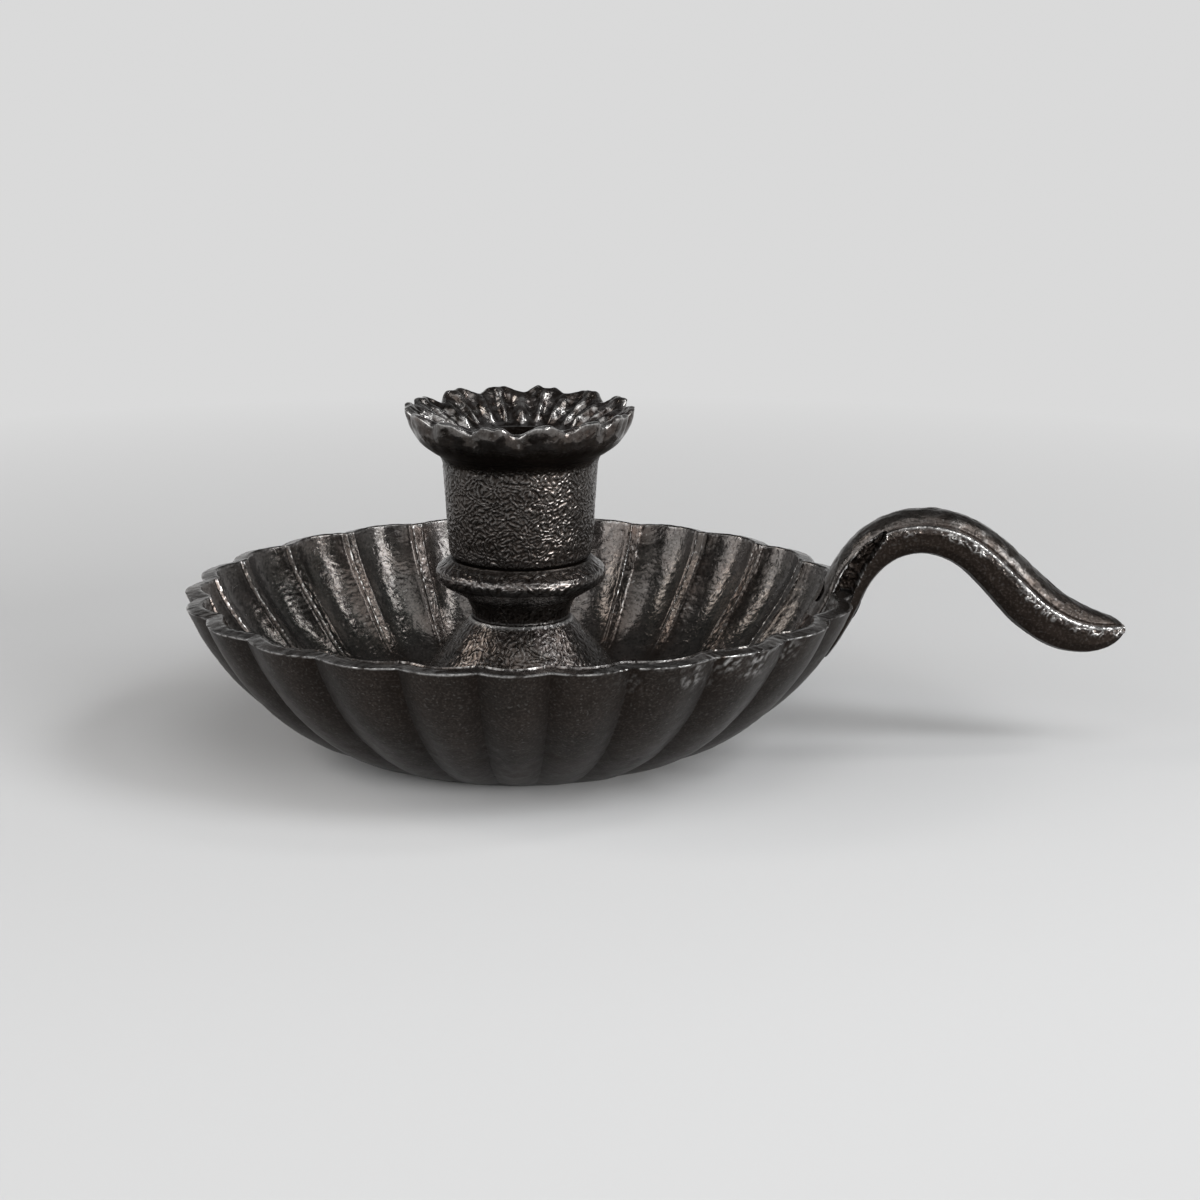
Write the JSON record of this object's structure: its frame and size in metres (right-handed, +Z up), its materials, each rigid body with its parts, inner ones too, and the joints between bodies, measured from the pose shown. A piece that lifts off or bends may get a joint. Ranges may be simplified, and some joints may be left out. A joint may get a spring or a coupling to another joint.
{
  "type": "chamberstick",
  "caption": "Cast-iron chamberstick: fluted dish with a forked S-shaped handle on its rim, flared foot, collared candle cup and lift-off petalled drip ring.",
  "frame": {"origin": "middle of the flat base, on the axis of the dish and cup", "axes": "+Z up along the axis of the cup, +X from the axis towards the handle"},
  "size_m": [0.1961, 0.14, 0.0727],
  "materials": {
    "dish_iron": "dark brown-black cast iron, satin, with soft dimples",
    "stem_iron": "dark cast iron with a fine wrinkled skin and bright glints",
    "ring_iron": "dark cast iron with worn, bright petal edges",
    "handle_iron": "satin dark cast iron, rubbed bright along its upper edges",
    "screw_steel": "darkened steel"
  },
  "bodies": {
    "stick": {"dish": "dish_iron", "foot": "stem_iron", "knop": "stem_iron", "candle_cup": "stem_iron", "handle": "handle_iron", "handle_rivet": "handle_iron", "centre_screw": "screw_steel", "screw_washer": "screw_steel"},
    "lifting_ring": {"drip_ring": "ring_iron"}
  },
  "joints": [
    {"name": "drip_ring_lift", "type": "slide", "parent": "stick", "child": "lifting_ring", "axis": [0, 0, 1], "range_m": [0, 0.02]}
  ]
}
